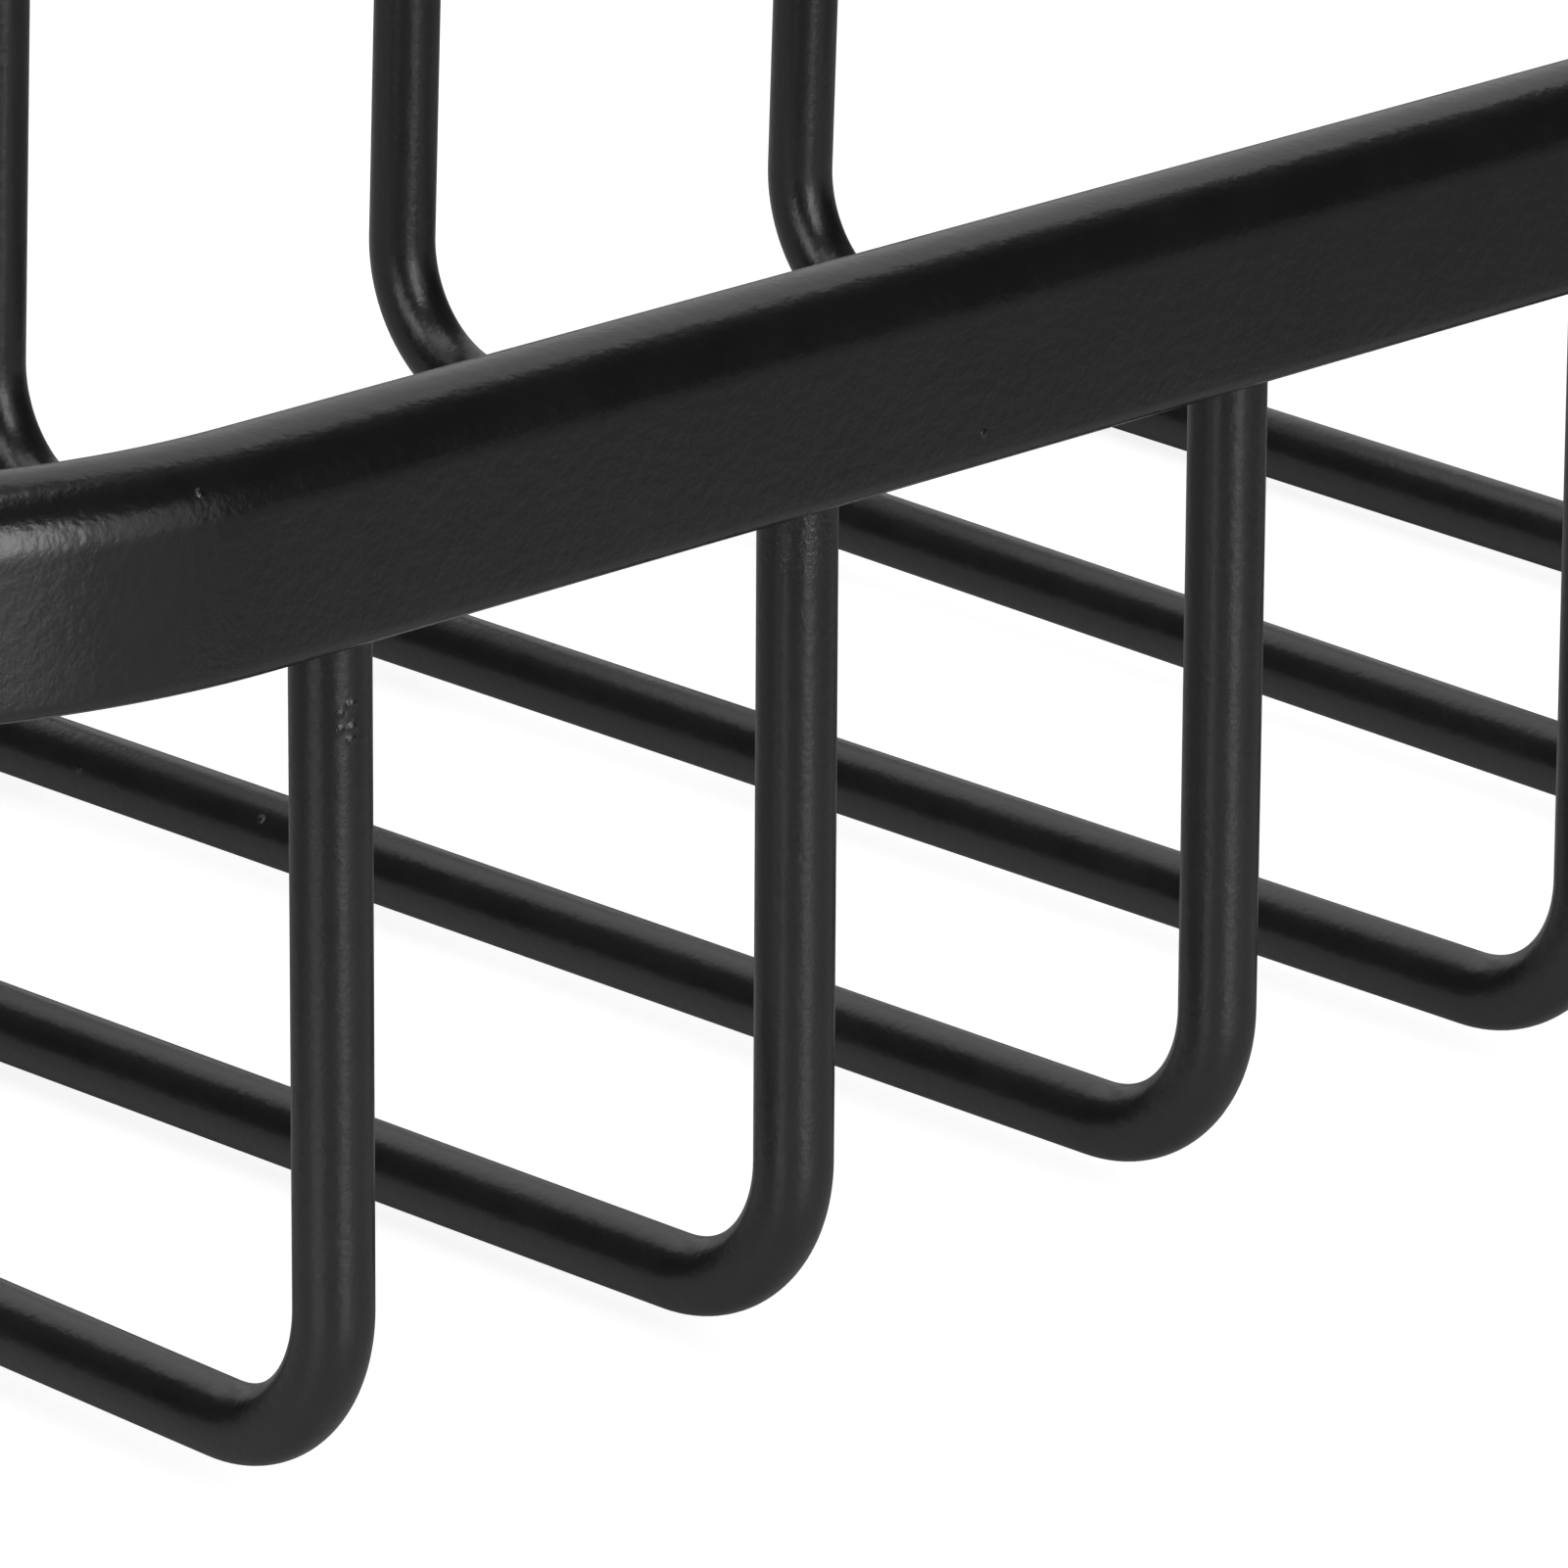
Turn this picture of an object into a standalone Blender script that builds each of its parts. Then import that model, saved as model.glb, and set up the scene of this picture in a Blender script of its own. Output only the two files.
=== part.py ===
# Sink sponge holder: a basket of bent wires hung in a rounded rectangular rim bar.
# Metres, +Z up, front towards -Y. The origin is on the standing surface under the middle of the basket.

import math

import bmesh
import bpy
from mathutils import Matrix, Vector

# Rim bar: a flat bar with a round top, bent into a closed rounded rectangle
BAR_HEIGHT = 0.0112
BAR_THICKNESS = 0.0066
BAR_EDGE_RADIUS = 0.0009
CORNER_RADIUS = 0.040

# Cross wires: U shapes whose legs stand in blind sockets in the underside of the bar
WIRE_DIAMETER = 0.004
WIRE_PITCH = 0.030
STRAIGHT_WIRE_COUNT = 6
LEG_SPAN = 0.122
LEG_DROP = 0.0422
BEND_RADIUS = 0.008
LEVEL_SPREAD = 0.0012
CORNER_MARGIN = 0.0061
SOCKET_DEPTH = 0.005
SEAT_GAP = 0.0003

# Cuts run past the face they start from by this much
CUT_OVERRUN = 0.001

# The legs close in towards the bar by this much, as wires sprung into their sockets do
LEG_LEAN = math.radians(1.0)

# The end wires stand this far round the corners of the bar, next to its ends
end_wire_turn_share = 0.95

# How far each straight wire stands from its even place at its front and back ends: sideways as
# a share of the pitch, and up or down as a share of the level spread
front_shift_shares = (0.0, 0.027, 0.034, -0.022, 0.006, -0.004)
back_shift_shares = (0.095, -0.069, -0.061, -0.118, -0.029, 0.091)
front_level_shares = (0.1, -0.2, 0.2, 0.3, 0.0, 0.0)
back_level_shares = (-0.4, -0.7, -0.2, 0.1, 1.0, -1.0)

# Facets
TOP_STEPS = 16
EDGE_STEPS = 3
CORNER_STEPS = 24
BEND_STEPS = 10
WIRE_SIDES = 16

WIRE_RADIUS = WIRE_DIAMETER / 2
BAR_HALF = BAR_THICKNESS / 2
CORNER_LINE_RADIUS = CORNER_RADIUS - BAR_HALF
LINE_HALF_DEPTH = LEG_SPAN / 2
STRAIGHT_HALF_LENGTH = (STRAIGHT_WIRE_COUNT - 1) * WIRE_PITCH / 2 + CORNER_MARGIN
STRAIGHT_HALF_DEPTH = LINE_HALF_DEPTH - CORNER_LINE_RADIUS


def clear_scene():
    for obj in list(bpy.data.objects):
        bpy.data.objects.remove(obj, do_unlink=True)


def coat(name, colour, roughness):
    """A matte coated metal."""
    material = bpy.data.materials.new(name)
    material.use_nodes = True
    shader = material.node_tree.nodes["Principled BSDF"]
    shader.inputs["Base Color"].default_value = (*colour, 1.0)
    shader.inputs["Roughness"].default_value = roughness
    shader.inputs["Metallic"].default_value = 0.0
    return material


def add_object(name, data):
    obj = bpy.data.objects.new(name, data)
    bpy.context.collection.objects.link(obj)
    return obj


def arc_points(centre, start, turn, steps):
    """Points on a circle: start, an arm from the centre, turned about X in equal steps."""
    return [centre + Matrix.Rotation(turn * i / steps, 3, "X") @ start for i in range(steps + 1)]


def bent_path(corners, radius, steps):
    """A path through straight stretches that meet at corners, each rounded to an arc."""
    points = [corners[0]]
    for before, corner, after in zip(corners, corners[1:], corners[2:]):
        back = (before - corner).normalized()
        ahead = (after - corner).normalized()
        opening = back.angle(ahead)
        tangent = radius / math.tan(opening / 2)
        centre = corner + (back + ahead).normalized() * radius / math.sin(opening / 2)
        start = corner + back * tangent - centre
        axis = back.cross(ahead)
        turn = opening - math.pi
        for i in range(steps + 1):
            points.append(centre + Matrix.Rotation(turn * i / steps, 3, axis) @ start)
    points.append(corners[-1])
    return points


# Cross wires

def wire_ends():
    """Front and back end of each wire's run, from left to right, with even runs at z = 0."""
    ends = []
    first = -(STRAIGHT_WIRE_COUNT - 1) * WIRE_PITCH / 2
    for i in range(STRAIGHT_WIRE_COUNT):
        x = first + i * WIRE_PITCH
        front_x = x + front_shift_shares[i] * WIRE_PITCH
        back_x = x + back_shift_shares[i] * WIRE_PITCH
        front = Vector((front_x, -LINE_HALF_DEPTH, front_level_shares[i] * LEVEL_SPREAD))
        back = Vector((back_x, LINE_HALF_DEPTH, back_level_shares[i] * LEVEL_SPREAD))
        ends.append((front, back))
    turn = end_wire_turn_share * math.pi / 2
    x = STRAIGHT_HALF_LENGTH + CORNER_LINE_RADIUS * math.sin(turn)
    y = STRAIGHT_HALF_DEPTH + CORNER_LINE_RADIUS * math.cos(turn)
    left = (Vector((-x, -y, 0)), Vector((-x, y, 0)))
    right = (Vector((x, -y, 0)), Vector((x, y, 0)))
    return [left, *ends, right]


def wire_corners(front, back):
    """The four points that a wire's straight stretches run between, before the wires are lifted.

    A leg leans about the point where it meets the underside of the bar, over its run's end.
    """
    lean = Vector((0, math.tan(LEG_LEAN), 0))
    seated = SOCKET_DEPTH - SEAT_GAP
    seat = LEG_DROP + seated
    return [
        Vector((front.x, front.y, seat)) + lean * seated,
        front - lean * (LEG_DROP - front.z),
        back + lean * (LEG_DROP - back.z),
        Vector((back.x, back.y, seat)) - lean * seated,
    ]


def lowest_run(all_corners):
    """Height of the lowest point of any wire's centre line."""
    return min(
        point.z for corners in all_corners for point in bent_path(corners, BEND_RADIUS, BEND_STEPS)
    )


def add_wire(name, corners, material):
    """One U wire: a round tube carried along its path, closed at both ends."""
    curve = bpy.data.curves.new(name, "CURVE")
    curve.dimensions = "3D"
    curve.bevel_depth = WIRE_RADIUS
    curve.bevel_resolution = (WIRE_SIDES - 4) // 2
    curve.use_fill_caps = True
    path = bent_path(corners, BEND_RADIUS, BEND_STEPS)
    spline = curve.splines.new("POLY")
    spline.points.add(len(path) - 1)
    for point, place in zip(spline.points, path):
        point.co = (*place, 1.0)
    curve.materials.append(material)
    return add_object(name, curve)


# Rim bar

def bar_outline(floor):
    """The bar's section in the YZ plane at the middle of the front: flat below, half round on top."""
    front = -LINE_HALF_DEPTH
    flat_edge = BAR_HALF - BAR_EDGE_RADIUS
    crown = floor + BAR_HEIGHT - BAR_HALF
    outline = arc_points(Vector((0, front, crown)), Vector((0, BAR_HALF, 0)), math.pi, TOP_STEPS)
    low = floor + BAR_EDGE_RADIUS
    quarter = math.pi / 2
    outline += arc_points(
        Vector((0, front - flat_edge, low)), Vector((0, -BAR_EDGE_RADIUS, 0)), quarter, EDGE_STEPS
    )
    outline += arc_points(
        Vector((0, front + flat_edge, low)), Vector((0, 0, -BAR_EDGE_RADIUS)), quarter, EDGE_STEPS
    )
    return outline


def extrude_loop(mesh, edges, shift):
    """Carry an open loop of edges along a straight stretch, and give back the new loop."""
    new = bmesh.ops.extrude_edge_only(mesh, edges=edges)["geom"]
    verts = [item for item in new if isinstance(item, bmesh.types.BMVert)]
    bmesh.ops.translate(mesh, verts=verts, vec=shift)
    chosen = set(verts)
    return [
        item
        for item in new
        if isinstance(item, bmesh.types.BMEdge) and chosen.issuperset(item.verts)
    ]


def socket_cutter(all_corners):
    """Blind holes for the legs: a leg's own line, wider and longer than the leg by the seat gap."""
    cutter = bmesh.new()
    for corners in all_corners:
        for top, bottom in ((corners[0], corners[1]), (corners[3], corners[2])):
            line = (top - bottom).normalized()
            length = SOCKET_DEPTH + CUT_OVERRUN
            middle = top + line * (SEAT_GAP - length / 2)
            bmesh.ops.create_cone(
                cutter,
                cap_ends=True,
                segments=WIRE_SIDES,
                radius1=WIRE_RADIUS + SEAT_GAP,
                radius2=WIRE_RADIUS + SEAT_GAP,
                depth=length,
                matrix=Matrix.Translation(middle) @ line.to_track_quat("Z", "Y").to_matrix().to_4x4(),
            )
    mesh = bpy.data.meshes.new("socket_cutter")
    cutter.to_mesh(mesh)
    cutter.free()
    obj = add_object("socket_cutter", mesh)
    obj.hide_render = True
    obj.display_type = "WIRE"
    return obj


def add_rim(name, floor, all_corners, material):
    """A quarter of the bar, from mid front round a corner to mid side, mirrored into a loop."""
    quarter = bmesh.new()
    verts = [quarter.verts.new(point) for point in bar_outline(floor)]
    loop = [quarter.edges.new((a, b)) for a, b in zip(verts, verts[1:] + verts[:1])]
    loop = extrude_loop(quarter, loop, Vector((STRAIGHT_HALF_LENGTH, 0, 0)))
    corner_verts = list({vert for edge in loop for vert in edge.verts})
    last = bmesh.ops.spin(
        quarter,
        geom=corner_verts + loop,
        cent=(STRAIGHT_HALF_LENGTH, -STRAIGHT_HALF_DEPTH, 0),
        axis=(0, 0, 1),
        angle=math.pi / 2,
        steps=CORNER_STEPS,
    )["geom_last"]
    loop = [item for item in last if isinstance(item, bmesh.types.BMEdge)]
    extrude_loop(quarter, loop, Vector((0, STRAIGHT_HALF_DEPTH, 0)))
    bmesh.ops.recalc_face_normals(quarter, faces=quarter.faces)
    mesh = bpy.data.meshes.new(name)
    quarter.to_mesh(mesh)
    quarter.free()
    mesh.materials.append(material)
    rim = add_object(name, mesh)

    mirror = rim.modifiers.new("four_quarters", "MIRROR")
    mirror.use_axis = (True, True, False)
    mirror.merge_threshold = 0.00001

    sockets = rim.modifiers.new("sockets", "BOOLEAN")
    sockets.operation = "DIFFERENCE"
    sockets.solver = "EXACT"
    sockets.object = socket_cutter(all_corners)

    mesh.shade_smooth()
    mesh.set_sharp_from_angle(angle=math.radians(40))
    return rim


def build():
    clear_scene()
    rim_coat = coat("rim_coat", (0.030, 0.030, 0.031), 0.45)
    wire_coat = coat("wire_coat", (0.028, 0.028, 0.029), 0.45)

    corner_sets = [wire_corners(*ends) for ends in wire_ends()]
    run_level = WIRE_RADIUS - lowest_run(corner_sets)
    lift = Vector((0, 0, run_level))
    corner_sets = [[corner + lift for corner in corners] for corners in corner_sets]

    add_rim("rim_bar", run_level + LEG_DROP, corner_sets, rim_coat)
    for number, corners in enumerate(corner_sets, start=1):
        add_wire(f"cross_wire_{number}", corners, wire_coat)


build()
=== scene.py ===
# Looks of the sink sponge holder: the coated bar and its bent wires, the floor and the light.
# Metres, +Z up, front towards -Y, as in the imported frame.

import math

import bpy
import numpy as np
from mathutils import Matrix, Vector


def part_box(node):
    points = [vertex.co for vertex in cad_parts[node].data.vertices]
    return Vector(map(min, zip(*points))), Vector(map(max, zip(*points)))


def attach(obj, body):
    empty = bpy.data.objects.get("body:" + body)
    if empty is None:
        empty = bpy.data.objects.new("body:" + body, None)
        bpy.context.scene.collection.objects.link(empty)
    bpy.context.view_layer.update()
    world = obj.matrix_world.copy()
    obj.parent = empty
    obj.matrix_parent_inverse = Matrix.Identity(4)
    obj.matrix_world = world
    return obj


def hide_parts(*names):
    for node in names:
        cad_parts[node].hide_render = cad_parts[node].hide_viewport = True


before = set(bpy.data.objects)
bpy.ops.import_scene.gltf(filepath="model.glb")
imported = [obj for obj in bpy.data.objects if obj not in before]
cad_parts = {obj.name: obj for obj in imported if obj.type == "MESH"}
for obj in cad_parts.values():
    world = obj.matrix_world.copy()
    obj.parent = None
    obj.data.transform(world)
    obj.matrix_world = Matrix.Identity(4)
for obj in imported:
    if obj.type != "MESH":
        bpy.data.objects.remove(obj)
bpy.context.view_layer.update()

# Rim bar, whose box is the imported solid's
RIM_LOW, RIM_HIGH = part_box("rim_bar")
BAR_THICKNESS = 0.0066
BAR_EDGE_RADIUS = 0.0009
CORNER_RADIUS = 0.040

BAR_HALF = BAR_THICKNESS / 2
CORNER_LINE_RADIUS = CORNER_RADIUS - BAR_HALF
LINE_HALF_DEPTH = RIM_HIGH.y - BAR_HALF
STRAIGHT_HALF_LENGTH = RIM_HIGH.x - CORNER_RADIUS
STRAIGHT_HALF_DEPTH = RIM_HIGH.y - CORNER_RADIUS

# Cross wires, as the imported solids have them
WIRE_RADIUS = 0.002
WIRE_PITCH = 0.030
STRAIGHT_WIRE_COUNT = 6
LEG_DROP = 0.0422
BEND_RADIUS = 0.008
LEVEL_SPREAD = 0.0012
SEAT_DEPTH = 0.0047
LEG_LEAN = math.radians(1.0)
end_wire_turn_share = 0.95
front_shift_shares = (0.0, 0.027, 0.034, -0.022, 0.006, -0.004)
back_shift_shares = (0.095, -0.069, -0.061, -0.118, -0.029, 0.091)
front_level_shares = (0.1, -0.2, 0.2, 0.3, 0.0, 0.0)
back_level_shares = (-0.4, -0.7, -0.2, 0.1, 1.0, -1.0)
RUN_LEVEL = RIM_LOW.z - LEG_DROP

# Sockets: their clearance round a leg and spare length at both ends, and the coat's fillet that
# bridges leg and socket
SOCKET_CLEARANCE = 0.0001
SOCKET_SPARE = 0.0003
COAT_FILLET = 0.00018

# How finely the surfaces are drawn
STRAIGHT_STEP = 0.001
BEND_STEP = 0.0004
RIM_CORNER_STEP = 0.0007
WIRE_SIDES = 64
TOP_SIDES = 56
EDGE_SIDES = 10
FACE_ROWS = 8
FILLET_RINGS = 8
SEAT_RINGS = 4
SOCKET_SIDES = 48
CREASE_ANGLE = math.radians(35)

# Camera: the lens, where it aims, and how it is turned about that point
LENS = 303.28
SENSOR_WIDTH = 36.0
AIM_POINT = Vector((-0.04475, -0.061, 0.0306))
CAMERA_DISTANCE = 0.6448
CAMERA_TURN = math.radians(44.878)
CAMERA_TILT = math.radians(19.38)
CAMERA_ROLL = math.radians(1.088)
CLIP_START = 0.01
CLIP_END = 100.0

# Powder coat: how strongly it mirrors, and its shade and roughness, which vary from patch to patch
# between two values
COAT_DARK = (0.008, 0.008, 0.008)
COAT_LIGHT = (0.016, 0.016, 0.016)
COAT_SPECULAR_LEVEL = 1.0
RIM_ROUGHNESS = (0.21, 0.27)
WIRE_ROUGHNESS = (0.26, 0.34)
GLOSS_PATCH_SIZE = 0.003
GLOSS_PATCH_DETAIL = 2.0

# The coat's skin from coarse to fine, and the small dust nibs caught in it
PEEL_SIZE = 0.0007
PEEL_DETAIL = 1.0
PEEL_HEIGHT = 0.000028
GRAIN_SIZE = 0.00024
GRAIN_DETAIL = 2.0
GRAIN_HEIGHT = 0.000014
NIB_SPACING = 0.0055
NIB_RADIUS = 0.00013
NIB_HEIGHT = 0.00003

# Larger nibs, their middles and radii: three high on the front leg of the leftmost straight wire,
# two smaller beside them, two on the third straight wire's run, and two on the bar's front. Noise
# shifts the place that every nib is measured from, so that they are lumpy
LARGE_NIB_HEIGHT = 0.00010
LUMP_SIZE = 0.0004
LUMP_SHIFT = 0.0003
LARGE_NIBS = (
    ((-0.07535, -0.0630, 0.04235), 0.00045),
    ((-0.07525, -0.0630, 0.04125), 0.00045),
    ((-0.07535, -0.0630, 0.04065), 0.00035),
    ((-0.0759, -0.0628, 0.04205), 0.00035),
    ((-0.0759, -0.0628, 0.0412), 0.00035),
    ((-0.0178, 0.0211, 0.0037), 0.00035),
    ((-0.0171, 0.0070, 0.0044), 0.00035),
    ((-0.0854, -0.0634, 0.0552), 0.00030),
    ((-0.0346, -0.0643, 0.0474), 0.00030),
)

# Places round which the grain stands higher, and how far: low on the bar's front left corner, low
# on the bar beside it, and the root of a leg
ROUGH_GAIN = 2.8
ROUGH_PLACES = (
    ((-0.1000, -0.0590, 0.0460), 0.0075),
    ((-0.0853, -0.0640, 0.0465), 0.0040),
    ((-0.0452, -0.0628, 0.0440), 0.0040),
)

# Floor: a little glossy, and paler near the basket than far from it. Its glow makes up the rest to
# white where it is looked at, and only a little glow shows in the coat
FLOOR_RADIUS = 3.0
FLOOR_SIDES = 96
FLOOR_ROUGHNESS = 0.3
FLOOR_FADE = (0.12, 0.22)
FLOOR_REFLECTANCE = (0.68, 0.33)
FLOOR_GLOW = (0.82, 0.92)
MIRRORED_FLOOR_GLOW = 0.02

# Softboxes round the basket: how far each is turned from the front towards the left and raised,
# in degrees, its width and height, and its brightness, where 1 is white
SOFTBOX_REACH = 1.4
SOFTBOXES = {
    "front": (12, 18, 0.60, 0.91, 3.0),
    "front_right": (-12, 15, 0.60, 0.75, 0.45),
    "left": (83, 20, 0.70, 1.02, 1.8),
    "high_left": (85, 62, 1.16, 0.60, 0.95),
    "overhead": (45, 88, 0.75, 0.75, 1.2),
    "back": (-146, 31, 1.90, 1.90, 0.55),
    "back_left": (-160, 42, 0.80, 0.80, 0.10),
    "back_right": (-95, 34, 0.62, 1.90, 0.05),
}

# Air: how much it glows on the basket and how much to the camera, and the colour of all that glows
AIR_GLOW = 0.02
SEEN_AIR_GLOW = 1.0
WHITE = (1.0, 1.0, 1.0, 1.0)


# Surfaces

def unit(vectors):
    """Vectors of length one along the last axis."""
    return vectors / np.linalg.norm(vectors, axis=-1, keepdims=True)


def steps_for(length, step):
    """The number of points, ends included, that lie no further than a step apart."""
    return max(2, math.ceil(length / step) + 1)


def straight_stretch(start, end):
    """Points start + (end - start) * t for even t, with the one heading that they share."""
    count = steps_for(np.linalg.norm(end - start), STRAIGHT_STEP)
    places = np.linspace(start, end, count)
    headings = np.broadcast_to(unit(end - start), places.shape)
    return places, headings


def arc_stretch(centre, arm, heading, turn, step):
    """Points centre + arm * cos(a) + heading * radius * sin(a) for even a from 0 to turn.

    The arm runs from the centre to the first point and the heading is square to it, so the
    headings are heading * cos(a) - (arm / radius) * sin(a).
    """
    radius = np.linalg.norm(arm)
    angle = np.linspace(0, turn, steps_for(radius * turn, step))[:, None]
    places = centre + arm * np.cos(angle) + heading * radius * np.sin(angle)
    headings = heading * np.cos(angle) - arm / radius * np.sin(angle)
    return places, headings


def joined(stretches):
    """One line from several stretches, each starting where the last one ended."""
    places = [stretches[0][0]] + [stretch[0][1:] for stretch in stretches[1:]]
    headings = [stretches[0][1]] + [stretch[1][1:] for stretch in stretches[1:]]
    return np.concatenate(places), np.concatenate(headings)


def quads(rings, sides, closed):
    """Corner numbers of the quads between neighbouring rings, and from the last ring to the first
    if they are closed."""
    gaps = rings if closed else rings - 1
    ring, side = np.meshgrid(np.arange(gaps), np.arange(sides), indexing="ij")
    next_ring = (ring + 1) % rings
    next_side = (side + 1) % sides
    corners = [
        ring * sides + side,
        next_ring * sides + side,
        next_ring * sides + next_side,
        ring * sides + next_side,
    ]
    return np.stack(corners, axis=-1).reshape(-1, 4)


def add_mesh(name, places, faces):
    """An object at the origin, smooth but for its creases."""
    mesh = bpy.data.meshes.new(name)
    mesh.from_pydata(places, [], faces)
    mesh.shade_smooth()
    mesh.set_sharp_from_angle(angle=CREASE_ANGLE)
    obj = bpy.data.objects.new(name, mesh)
    bpy.context.scene.collection.objects.link(obj)
    return obj


# Cross wires

def wire_ends():
    """Front and back end of each wire's run, from left to right."""
    ends = []
    for i in range(STRAIGHT_WIRE_COUNT):
        x = (i - (STRAIGHT_WIRE_COUNT - 1) / 2) * WIRE_PITCH
        front_x = x + front_shift_shares[i] * WIRE_PITCH
        back_x = x + back_shift_shares[i] * WIRE_PITCH
        front_z = RUN_LEVEL + front_level_shares[i] * LEVEL_SPREAD
        back_z = RUN_LEVEL + back_level_shares[i] * LEVEL_SPREAD
        front = np.array((front_x, -LINE_HALF_DEPTH, front_z))
        back = np.array((back_x, LINE_HALF_DEPTH, back_z))
        ends.append((front, back))
    turn = end_wire_turn_share * math.pi / 2
    x = STRAIGHT_HALF_LENGTH + CORNER_LINE_RADIUS * math.sin(turn)
    y = STRAIGHT_HALF_DEPTH + CORNER_LINE_RADIUS * math.cos(turn)
    left = (np.array((-x, -y, RUN_LEVEL)), np.array((-x, y, RUN_LEVEL)))
    right = (np.array((x, -y, RUN_LEVEL)), np.array((x, y, RUN_LEVEL)))
    return [left, *ends, right]


def wire_corners(front, back):
    """The four points that a wire's straight stretches run between, from its front leg's end.

    A leg leans about the point where it meets the underside of the bar, over its run's end.
    """
    lean = np.array((0.0, math.tan(LEG_LEAN), 0.0))
    seat = RIM_LOW.z + SEAT_DEPTH
    return [
        np.array((front[0], front[1], seat)) + lean * SEAT_DEPTH,
        front - lean * (RIM_LOW.z - front[2]),
        back + lean * (RIM_LOW.z - back[2]),
        np.array((back[0], back[1], seat)) - lean * SEAT_DEPTH,
    ]


def leg_stretch(top, entry):
    """A leg from its end in the bar down to its bend, with close rings where the coat's fillet is:
    points top + (entry - top) * t, where t is the share of the way down at each chosen level."""
    in_socket = np.linspace(top[2], RIM_LOW.z + SOCKET_CLEARANCE, SEAT_RINGS)
    at_root = RIM_LOW.z - COAT_FILLET * np.linspace(0, 1, FILLET_RINGS)
    below = np.linspace(at_root[-1], entry[2], steps_for(at_root[-1] - entry[2], STRAIGHT_STEP))[1:]
    levels = np.concatenate((in_socket, at_root, below))
    share = (top[2] - levels) / (top[2] - entry[2])
    places = top + (entry - top) * share[:, None]
    headings = np.broadcast_to(unit(entry - top), places.shape)
    return places, headings


def bent_line(corners):
    """A leg, its bend, the bottom run, the other bend and the other leg.

    Where two stretches open by an angle, the arc starts radius / tan(angle / 2) before their
    corner, about a point radius / sin(angle / 2) along the bisector, and turns pi - angle.
    """
    bends = []
    for before, corner, after in zip(corners, corners[1:], corners[2:]):
        back = unit(before - corner)
        ahead = unit(after - corner)
        half = math.acos(back @ ahead) / 2
        entry = corner + back * BEND_RADIUS / math.tan(half)
        centre = corner + unit(back + ahead) * BEND_RADIUS / math.sin(half)
        bends.append(arc_stretch(centre, entry - centre, -back, math.pi - 2 * half, BEND_STEP))
    front_leg = leg_stretch(corners[0], bends[0][0][0])
    run = straight_stretch(bends[0][0][-1], bends[1][0][0])
    places, headings = leg_stretch(corners[3], bends[1][0][-1])
    back_leg = (places[::-1], -headings[::-1])
    return joined([front_leg, bends[0], run, bends[1], back_leg])


def wire_radii(places):
    """The wire's radius at each ring. The coat's fillet stands out by its own radius less the root
    of (radius squared - (radius - drop) squared), where drop is the depth below the bar."""
    drop = RIM_LOW.z - places[:, 2]
    inside = np.clip(COAT_FILLET - drop, 0, COAT_FILLET)
    flare = COAT_FILLET - np.sqrt(COAT_FILLET**2 - inside**2)
    return WIRE_RADIUS + np.where(drop < -SOCKET_CLEARANCE / 2, 0.0, flare)


def add_wire(name, corners):
    """A circle carried along the wire's line: place + radius * (side * cos(t) + upward * sin(t)),
    where side is level and square to the heading, and upward is square to both."""
    places, headings = bent_line(corners)
    sideways = np.array((1.0, 0.0, 0.0))
    side = unit(sideways - headings * (headings @ sideways)[:, None])
    upward = np.cross(headings, side)
    t = np.arange(WIRE_SIDES) * 2 * math.pi / WIRE_SIDES
    arms = side[:, None] * np.cos(t)[:, None] + upward[:, None] * np.sin(t)[:, None]
    rings = places[:, None] + arms * wire_radii(places)[:, None, None]
    count = len(places)
    first = list(range(WIRE_SIDES))
    last = [(count - 1) * WIRE_SIDES + i for i in reversed(range(WIRE_SIDES))]
    faces = quads(count, WIRE_SIDES, closed=False).tolist() + [first, last]
    return add_mesh(name, rings.reshape(-1, 3), faces)


# Rim bar

def rim_line():
    """The bar's centre line in plan: four straight stretches and four quarter circles, closed."""
    stretches = []
    x, y, quarter = STRAIGHT_HALF_LENGTH, STRAIGHT_HALF_DEPTH, math.pi / 2
    centres = np.array(((x, -y, 0.0), (x, y, 0.0), (-x, y, 0.0), (-x, -y, 0.0)))
    ways = np.array(((0.0, -1.0, 0.0), (1.0, 0.0, 0.0), (0.0, 1.0, 0.0), (-1.0, 0.0, 0.0)))
    for i in range(len(centres)):
        after = (i + 1) % len(centres)
        arm = ways[i] * CORNER_LINE_RADIUS
        next_arm = ways[after] * CORNER_LINE_RADIUS
        stretches.append(arc_stretch(centres[i], arm, ways[after], quarter, RIM_CORNER_STEP))
        stretches.append(straight_stretch(centres[i] + next_arm, centres[after] + next_arm))
    places, headings = joined(stretches)
    return places[:-1], headings[:-1]


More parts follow.
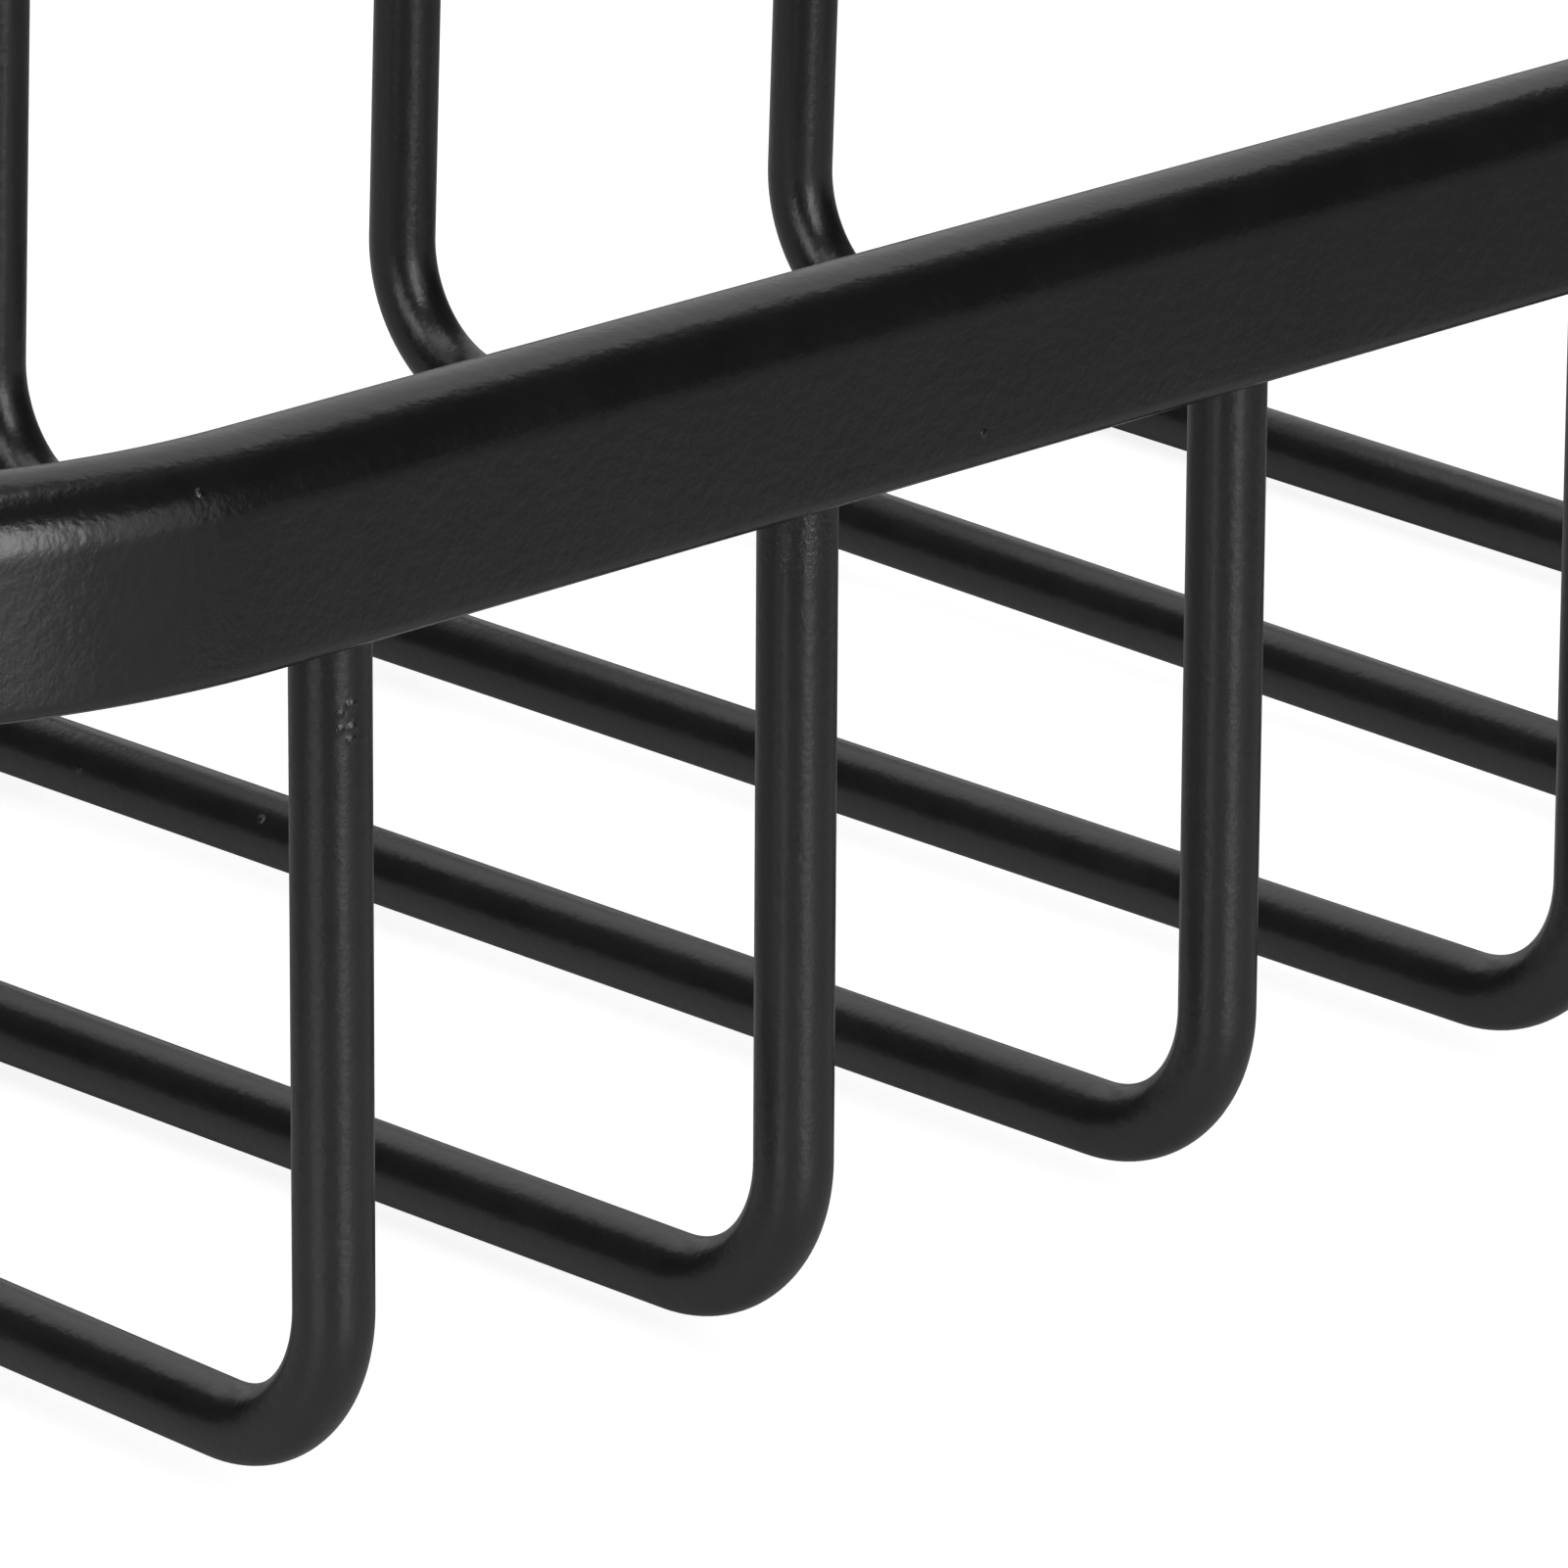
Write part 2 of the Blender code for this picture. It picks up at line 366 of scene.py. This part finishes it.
def bar_section():
    """Outward and upward places round the bar's section: a half round top, flat faces and
    rounded lower edges. Arc points are centre + radius * (cos, sin)."""
    crown = RIM_HIGH.z - BAR_HALF
    low = RIM_LOW.z + BAR_EDGE_RADIUS
    flat_half = BAR_HALF - BAR_EDGE_RADIUS
    top = np.linspace(0, math.pi, TOP_SIDES + 1)
    inner_edge = np.linspace(math.pi, 1.5 * math.pi, EDGE_SIDES + 1)
    outer_edge = np.linspace(1.5 * math.pi, 2 * math.pi, EDGE_SIDES + 1)
    rows = np.linspace(0, 1, FACE_ROWS + 1)[1:-1]
    outward = np.concatenate((
        BAR_HALF * np.cos(top),
        np.full(rows.shape, -BAR_HALF),
        -flat_half + BAR_EDGE_RADIUS * np.cos(inner_edge),
        flat_half * (2 * rows - 1),
        flat_half + BAR_EDGE_RADIUS * np.cos(outer_edge),
        np.full(rows.shape, BAR_HALF),
    ))
    upward = np.concatenate((
        crown + BAR_HALF * np.sin(top),
        crown + (low - crown) * rows,
        low + BAR_EDGE_RADIUS * np.sin(inner_edge),
        np.full(rows.shape, RIM_LOW.z),
        low + BAR_EDGE_RADIUS * np.sin(outer_edge),
        low + (crown - low) * rows,
    ))
    return outward, upward


def add_sockets(corner_sets):
    """Closed cylinders along the legs' lines, a little wider and longer than the legs' ends."""
    t = np.arange(SOCKET_SIDES) * 2 * math.pi / SOCKET_SIDES
    circle = np.stack((np.cos(t), np.sin(t), np.zeros(SOCKET_SIDES)), axis=-1)
    circle *= WIRE_RADIUS + SOCKET_CLEARANCE
    places, faces = [], []
    for corners in corner_sets:
        for top, bottom in ((corners[0], corners[1]), (corners[3], corners[2])):
            line = unit(top - bottom)
            start = len(places) * SOCKET_SIDES
            places.append(circle + top + line * SOCKET_SPARE)
            places.append(circle + top - line * (SEAT_DEPTH + SOCKET_SPARE))
            faces += (quads(2, SOCKET_SIDES, closed=False) + start).tolist()
            faces.append([start + i for i in range(SOCKET_SIDES)])
            faces.append([start + SOCKET_SIDES + i for i in reversed(range(SOCKET_SIDES))])
    return add_mesh("socket_cutter", np.concatenate(places), faces)


def add_rim(name, corner_sets):
    """The bar's section carried along its line: place + away * outward + up * upward, where away
    is level and square to the heading. The sockets are cut out of its underside."""
    places, headings = rim_line()
    up = np.array((0.0, 0.0, 1.0))
    away = np.cross(headings, up)
    outward, upward = bar_section()
    rings = places[:, None] + away[:, None] * outward[:, None] + up * upward[:, None]
    faces = quads(len(places), len(outward), closed=True).tolist()
    rim = add_mesh(name, rings.reshape(-1, 3), faces)

    cutter = add_sockets(corner_sets)
    cut = rim.modifiers.new("sockets", "BOOLEAN")
    cut.operation = "DIFFERENCE"
    cut.solver = "EXACT"
    cut.object = cutter
    bpy.context.view_layer.update()
    whole = rim.evaluated_get(bpy.context.evaluated_depsgraph_get())
    rim.data = bpy.data.meshes.new_from_object(whole)
    rim.modifiers.remove(cut)
    rim.data.set_sharp_from_angle(angle=CREASE_ANGLE)
    bpy.data.objects.remove(cutter)
    return rim


# Finishes

def new_material(name):
    """A material, its nodes and its links."""
    material = bpy.data.materials.new(name)
    material.use_nodes = True
    return material, material.node_tree.nodes, material.node_tree.links


def reckoned(nodes, links, operation, *values):
    """The result of a sum on values that are sockets or numbers."""
    sum_node = nodes.new("ShaderNodeMath")
    sum_node.operation = operation
    for socket, value in zip(sum_node.inputs, values):
        if isinstance(value, bpy.types.NodeSocket):
            links.new(value, socket)
        else:
            socket.default_value = value
    return sum_node.outputs["Value"]


def clouds(nodes, links, place, size, detail):
    """Noise between 0 and 1 whose clouds are about this size."""
    noise = nodes.new("ShaderNodeTexNoise")
    noise.inputs["Scale"].default_value = 1 / size
    noise.inputs["Detail"].default_value = detail
    links.new(place, noise.inputs["Vector"])
    return noise.outputs["Fac"]


def eased(nodes, links, value, start, end, first, last):
    """A result that goes smoothly from first to last while the value goes from start to end."""
    ease = nodes.new("ShaderNodeMapRange")
    ease.interpolation_type = "SMOOTHSTEP"
    ease.inputs["From Min"].default_value = start
    ease.inputs["From Max"].default_value = end
    ease.inputs["To Min"].default_value = first
    ease.inputs["To Max"].default_value = last
    links.new(value, ease.inputs["Value"])
    return ease.outputs["Result"]


def round_bump(nodes, links, distance, radius, height):
    """A bump that falls smoothly from its height at no distance to nothing at its radius."""
    return eased(nodes, links, distance, 0.0, radius, height, 0.0)


def bumps_at(nodes, links, place, bumps, height):
    """The highest of several round bumps, each given by its middle and its radius."""
    highest = 0.0
    for middle, radius in bumps:
        away = nodes.new("ShaderNodeVectorMath")
        away.operation = "DISTANCE"
        away.inputs[1].default_value = middle
        links.new(place, away.inputs[0])
        bump = round_bump(nodes, links, away.outputs["Value"], radius, height)
        highest = reckoned(nodes, links, "MAXIMUM", highest, bump)
    return highest


def lumpy(nodes, links, place):
    """The place, shifted a little this way and that, which makes round bumps uneven."""
    noise = nodes.new("ShaderNodeTexNoise")
    noise.inputs["Scale"].default_value = 1 / LUMP_SIZE
    links.new(place, noise.inputs["Vector"])
    shift = nodes.new("ShaderNodeVectorMath")
    shift.operation = "MULTIPLY_ADD"
    shift.inputs[1].default_value = (LUMP_SHIFT, LUMP_SHIFT, LUMP_SHIFT)
    links.new(noise.outputs["Color"], shift.inputs[0])
    links.new(place, shift.inputs[2])
    return shift.outputs["Vector"]


def nibs(nodes, links, place):
    """Dust nibs: a few at random, one to a cell of a Voronoi pattern, and the larger ones."""
    place = lumpy(nodes, links, place)
    cells = nodes.new("ShaderNodeTexVoronoi")
    cells.inputs["Scale"].default_value = 1 / NIB_SPACING
    links.new(place, cells.inputs["Vector"])
    share = NIB_RADIUS / NIB_SPACING
    small = round_bump(nodes, links, cells.outputs["Distance"], share, NIB_HEIGHT)
    large = bumps_at(nodes, links, place, LARGE_NIBS, LARGE_NIB_HEIGHT)
    return reckoned(nodes, links, "MAXIMUM", small, large)


def powder_coat(name, roughness):
    """Matte black powder coat: orange peel, grain and nibs, and slightly uneven gloss and shade.
    The heights are in metres."""
    material, nodes, links = new_material(name)
    shader = nodes["Principled BSDF"]
    place = nodes.new("ShaderNodeTexCoord").outputs["Object"]

    patches = clouds(nodes, links, place, GLOSS_PATCH_SIZE, GLOSS_PATCH_DETAIL)
    shade = nodes.new("ShaderNodeMix")
    shade.data_type = "RGBA"
    shade.inputs["A"].default_value = (*COAT_DARK, 1.0)
    shade.inputs["B"].default_value = (*COAT_LIGHT, 1.0)
    links.new(patches, shade.inputs["Factor"])
    links.new(shade.outputs["Result"], shader.inputs["Base Color"])
    gloss = nodes.new("ShaderNodeMapRange")
    gloss.inputs["To Min"].default_value = roughness[0]
    gloss.inputs["To Max"].default_value = roughness[1]
    links.new(patches, gloss.inputs["Value"])
    links.new(gloss.outputs["Result"], shader.inputs["Roughness"])
    shader.inputs["Specular IOR Level"].default_value = COAT_SPECULAR_LEVEL

    peel = clouds(nodes, links, place, PEEL_SIZE, PEEL_DETAIL)
    grain = clouds(nodes, links, place, GRAIN_SIZE, GRAIN_DETAIL)
    rough = bumps_at(nodes, links, place, ROUGH_PLACES, ROUGH_GAIN)
    gain = reckoned(nodes, links, "ADD", 1.0, rough)
    grain = reckoned(nodes, links, "MULTIPLY", grain, gain)
    height = reckoned(nodes, links, "MULTIPLY", peel, PEEL_HEIGHT)
    height = reckoned(nodes, links, "MULTIPLY_ADD", grain, GRAIN_HEIGHT, height)
    height = reckoned(nodes, links, "ADD", height, nibs(nodes, links, place))
    bump = nodes.new("ShaderNodeBump")
    bump.inputs["Distance"].default_value = 1.0
    links.new(height, bump.inputs["Height"])
    links.new(bump.outputs["Normal"], shader.inputs["Normal"])
    return material


# Stage

def background_glow(nodes, links, glow, mirrored_glow):
    """The glow for rays that see the background straight or through glass, another glow for
    mirrored rays, and none for the rest."""
    rays = nodes.new("ShaderNodeLightPath").outputs
    camera, glass = rays["Is Camera Ray"], rays["Is Transmission Ray"]
    mirrored = reckoned(nodes, links, "MULTIPLY", rays["Is Glossy Ray"], mirrored_glow)
    straight = reckoned(nodes, links, "MAXIMUM", camera, glass)
    return reckoned(nodes, links, "MULTIPLY_ADD", straight, glow, mirrored)


def add_floor():
    """A round white floor under the basket, whose shade and glow change with the distance from the
    middle, and which isn't seen from below."""
    t = np.arange(FLOOR_SIDES) * 2 * math.pi / FLOOR_SIDES
    circle = np.stack((np.cos(t), np.sin(t), np.zeros(FLOOR_SIDES)), axis=-1) * FLOOR_RADIUS
    floor = add_mesh("floor", circle, [list(range(FLOOR_SIDES))])
    material, nodes, links = new_material("floor_white")
    shader = nodes["Principled BSDF"]
    shader.inputs["Roughness"].default_value = FLOOR_ROUGHNESS
    shader.inputs["Emission Color"].default_value = WHITE

    length = nodes.new("ShaderNodeVectorMath")
    length.operation = "LENGTH"
    links.new(nodes.new("ShaderNodeTexCoord").outputs["Object"], length.inputs[0])
    distance = length.outputs["Value"]
    reflectance = eased(nodes, links, distance, *FLOOR_FADE, *FLOOR_REFLECTANCE)
    links.new(reflectance, shader.inputs["Base Color"])
    glow = eased(nodes, links, distance, *FLOOR_FADE, *FLOOR_GLOW)
    glow = background_glow(nodes, links, glow, MIRRORED_FLOOR_GLOW)
    links.new(glow, shader.inputs["Emission Strength"])

    under = nodes.new("ShaderNodeNewGeometry")
    clear = nodes.new("ShaderNodeBsdfTransparent")
    side = nodes.new("ShaderNodeMixShader")
    links.new(under.outputs["Backfacing"], side.inputs["Fac"])
    links.new(shader.outputs["BSDF"], side.inputs[1])
    links.new(clear.outputs["BSDF"], side.inputs[2])
    links.new(side.outputs["Shader"], nodes["Material Output"].inputs["Surface"])
    floor.data.materials.append(material)


def add_world():
    """Dim air that the camera sees as white."""
    world = bpy.data.worlds.new("studio")
    world.use_nodes = True
    nodes, links = world.node_tree.nodes, world.node_tree.links
    background = nodes["Background"]
    background.inputs["Color"].default_value = WHITE
    seen = background_glow(nodes, links, SEEN_AIR_GLOW, AIR_GLOW)
    strength = reckoned(nodes, links, "MAXIMUM", seen, AIR_GLOW)
    links.new(strength, background.inputs["Strength"])
    bpy.context.scene.world = world


def add_softbox(name, turn, raised, width, height, brightness):
    """A rectangular lamp that faces the basket. Its power is pi * its area * its brightness."""
    turn, raised = math.radians(turn), math.radians(raised)
    level = math.cos(raised)
    outward = Vector((-math.sin(turn) * level, -math.cos(turn) * level, math.sin(raised)))
    light = bpy.data.lights.new(name, "AREA")
    light.shape = "RECTANGLE"
    light.size = width
    light.size_y = height
    light.energy = math.pi * width * height * brightness
    softbox = bpy.data.objects.new(name, light)
    softbox.location = outward * SOFTBOX_REACH
    softbox.rotation_euler = outward.to_track_quat("Z", "Y").to_euler()
    softbox.visible_camera = False
    bpy.context.scene.collection.objects.link(softbox)


def add_camera():
    """The camera, moved back from its aim point after it is turned, tilted and rolled."""
    data = bpy.data.cameras.new("camera")
    data.lens = LENS
    data.sensor_width = SENSOR_WIDTH
    data.clip_start = CLIP_START
    data.clip_end = CLIP_END
    camera = bpy.data.objects.new("camera", data)
    turned = (
        Matrix.Rotation(-CAMERA_TURN, 4, "Z")
        @ Matrix.Rotation(math.pi / 2 - CAMERA_TILT, 4, "X")
        @ Matrix.Rotation(CAMERA_ROLL, 4, "Z")
    )
    away = turned @ Vector((0, 0, CAMERA_DISTANCE))
    camera.matrix_world = Matrix.Translation(AIM_POINT + away) @ turned
    bpy.context.scene.collection.objects.link(camera)
    bpy.context.scene.camera = camera


def dress(piece, material, node):
    """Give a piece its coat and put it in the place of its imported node."""
    piece.data.materials.clear()
    piece.data.materials.append(material)
    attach(piece, "root")
    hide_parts(node)


# The basket
rim_coat = powder_coat("rim_coat", RIM_ROUGHNESS)
wire_coat = powder_coat("wire_coat", WIRE_ROUGHNESS)
corner_sets = [wire_corners(*ends) for ends in wire_ends()]
dress(add_rim("rim_bar_coated", corner_sets), rim_coat, "rim_bar")
for number, corners in enumerate(corner_sets, start=1):
    wire = add_wire(f"cross_wire_{number}_coated", corners)
    dress(wire, wire_coat, f"cross_wire_{number}")

# Stage, light and camera
add_floor()
add_camera()
add_world()
for name, setting in SOFTBOXES.items():
    add_softbox(f"softbox_{name}", *setting)
bpy.context.scene.view_settings.view_transform = "Standard"
